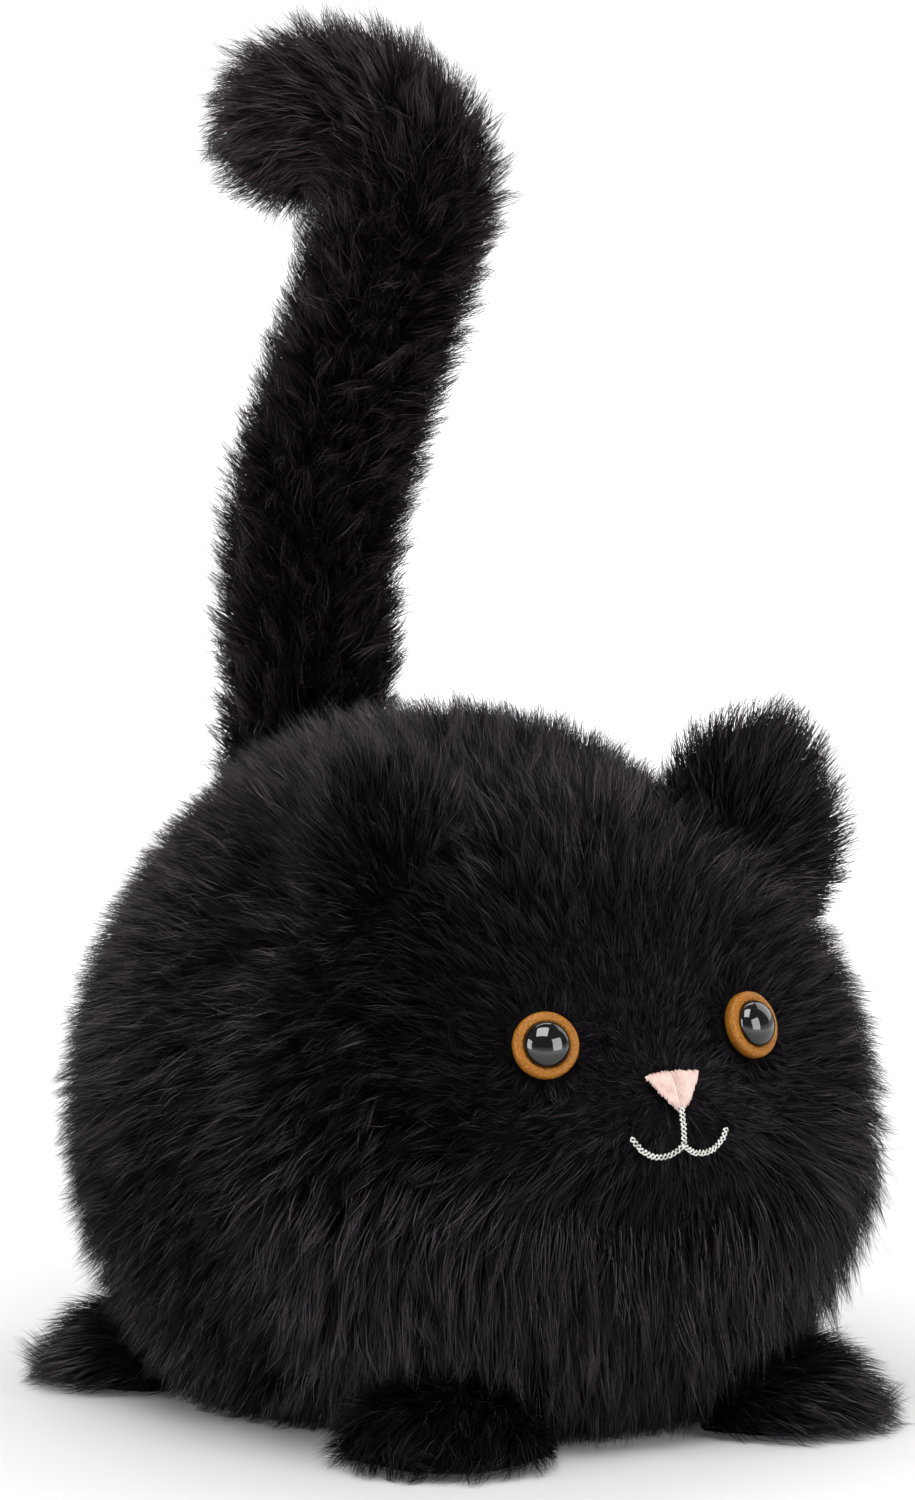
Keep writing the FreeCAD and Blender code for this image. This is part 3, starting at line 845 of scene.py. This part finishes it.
def softboxes():
    """Soft lights round the cat, which the camera doesn't see."""
    for name, (azimuth, elevation, power, size) in SOFTBOXES.items():
        light = bpy.data.lights.new(name, "AREA")
        light.energy = power
        light.size = size
        box = bpy.data.objects.new(name, light)
        box.visible_camera = False
        aim(box, LIT_POINT + towards(azimuth, elevation), LIT_POINT)


def pale_floor():
    """A matt floor with a painted glow, so wide that its edges are far out of view."""
    material = mottled("floor_white", 0.9, (0.46, 0.46, 0.46), (0.48, 0.48, 0.48), 3.0)
    tree = material.node_tree
    shader = tree.nodes["Principled BSDF"]
    shader.inputs["Specular IOR Level"].default_value = 0.1
    # Painted light: the floor glows, weakly near the cat and more further out.
    shader.inputs["Emission Color"].default_value = (1, 1, 1, 1)
    place = tree.nodes.new("ShaderNodeTexCoord")
    far = tree.nodes.new("ShaderNodeVectorMath")
    far.operation = "LENGTH"
    tree.links.new(place.outputs["Object"], far.inputs[0])
    painted_glow = tree.nodes.new("ShaderNodeMapRange")
    for socket, value in PAINTED_GLOW.items():
        painted_glow.inputs[socket].default_value = value
    tree.links.new(far.outputs["Value"], painted_glow.inputs["Value"])
    tree.links.new(painted_glow.outputs["Result"], shader.inputs["Emission Strength"])
    reach = FLOOR_REACH / MM
    corners = [(-reach, -reach, 0), (reach, -reach, 0), (reach, reach, 0), (-reach, reach, 0)]
    made = new_object("floor", corners, [(0, 1, 2, 3)], material)


def camera():
    """A long lens at the photograph's angle."""
    lens = bpy.data.cameras.new("camera")
    lens.lens = FOCAL_LENGTH
    lens.clip_end = 100
    made = bpy.data.objects.new("camera", lens)
    aim(made, CAMERA_TARGET + towards(CAMERA_AZIMUTH, CAMERA_ELEVATION) * CAMERA_DISTANCE, CAMERA_TARGET)
    bpy.context.scene.camera = made


# ---------------------------------------------------------------- everything

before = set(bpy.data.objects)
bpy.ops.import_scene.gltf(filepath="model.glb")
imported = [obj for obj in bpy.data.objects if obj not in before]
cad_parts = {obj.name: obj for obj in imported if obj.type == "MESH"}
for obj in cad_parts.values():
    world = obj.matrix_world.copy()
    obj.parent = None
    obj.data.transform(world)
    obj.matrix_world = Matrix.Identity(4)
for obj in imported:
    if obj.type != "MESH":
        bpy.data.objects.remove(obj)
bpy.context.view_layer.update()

# Each mottled material has its roughness, its darkest and lightest colour, and its noise's scale.
cloth = mottled(
    "black_cloth", 0.95, (0.002, 0.002, 0.002), (0.004, 0.0035, 0.004), 300.0, Specular_IOR_Level=0.05
)
long_coat = coat("long_fur", 0.32, 0.27, 1.0)
face_coat = coat("face_fur", 0.42, 0.19, 0.6)
tail_coat = coat("tail_fur", 0.34, 0.34, 1.5, (1.2, 1.0, 1.0))
amber = mottled(
    "amber_plastic", 0.5, (0.12, 0.036, 0.001), (0.30, 0.115, 0.006), 5000.0, Specular_IOR_Level=0.25
)
pupil_black = mottled("black_plastic", 0.03, (0.0012, 0.0012, 0.0012), (0.002, 0.002, 0.002), 200.0, IOR=1.6)
pink = mottled("pink_thread", 0.45, (0.46, 0.32, 0.28), (0.56, 0.42, 0.375), 900.0, Specular_IOR_Level=0.3)
grey = mottled("grey_thread", 0.6, (0.36, 0.35, 0.33), (0.70, 0.69, 0.66), 1500.0, Specular_IOR_Level=0.25)
wadding = mottled("white_wadding", 0.95, (0.72, 0.72, 0.7), (0.86, 0.86, 0.84), 120.0)
beads = mottled("bead_plastic", 0.4, (0.75, 0.76, 0.77), (0.84, 0.85, 0.86), 80.0)
pouch = mottled("pouch_cloth", 0.9, (0.62, 0.6, 0.56), (0.74, 0.72, 0.68), 300.0)
washer = mottled("washer_plastic", 0.45, (0.7, 0.7, 0.68), (0.8, 0.8, 0.78), 200.0)

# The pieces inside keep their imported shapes.
inside = {"body_filling": wadding, "bead_pouch": pouch, "beads": beads}
inside.update({f"eye_{side}_washer": washer for side in SIDES})
for node, material in inside.items():
    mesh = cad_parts[node].data
    mesh.materials.clear()
    mesh.materials.append(material)

trunk(cloth, long_coat, face_coat, pink, grey)
eyes(amber, pupil_black)
tail(cloth, tail_coat)
ears(cloth, long_coat)
paws(cloth, long_coat)
backdrop()
softboxes()
pale_floor()
camera()
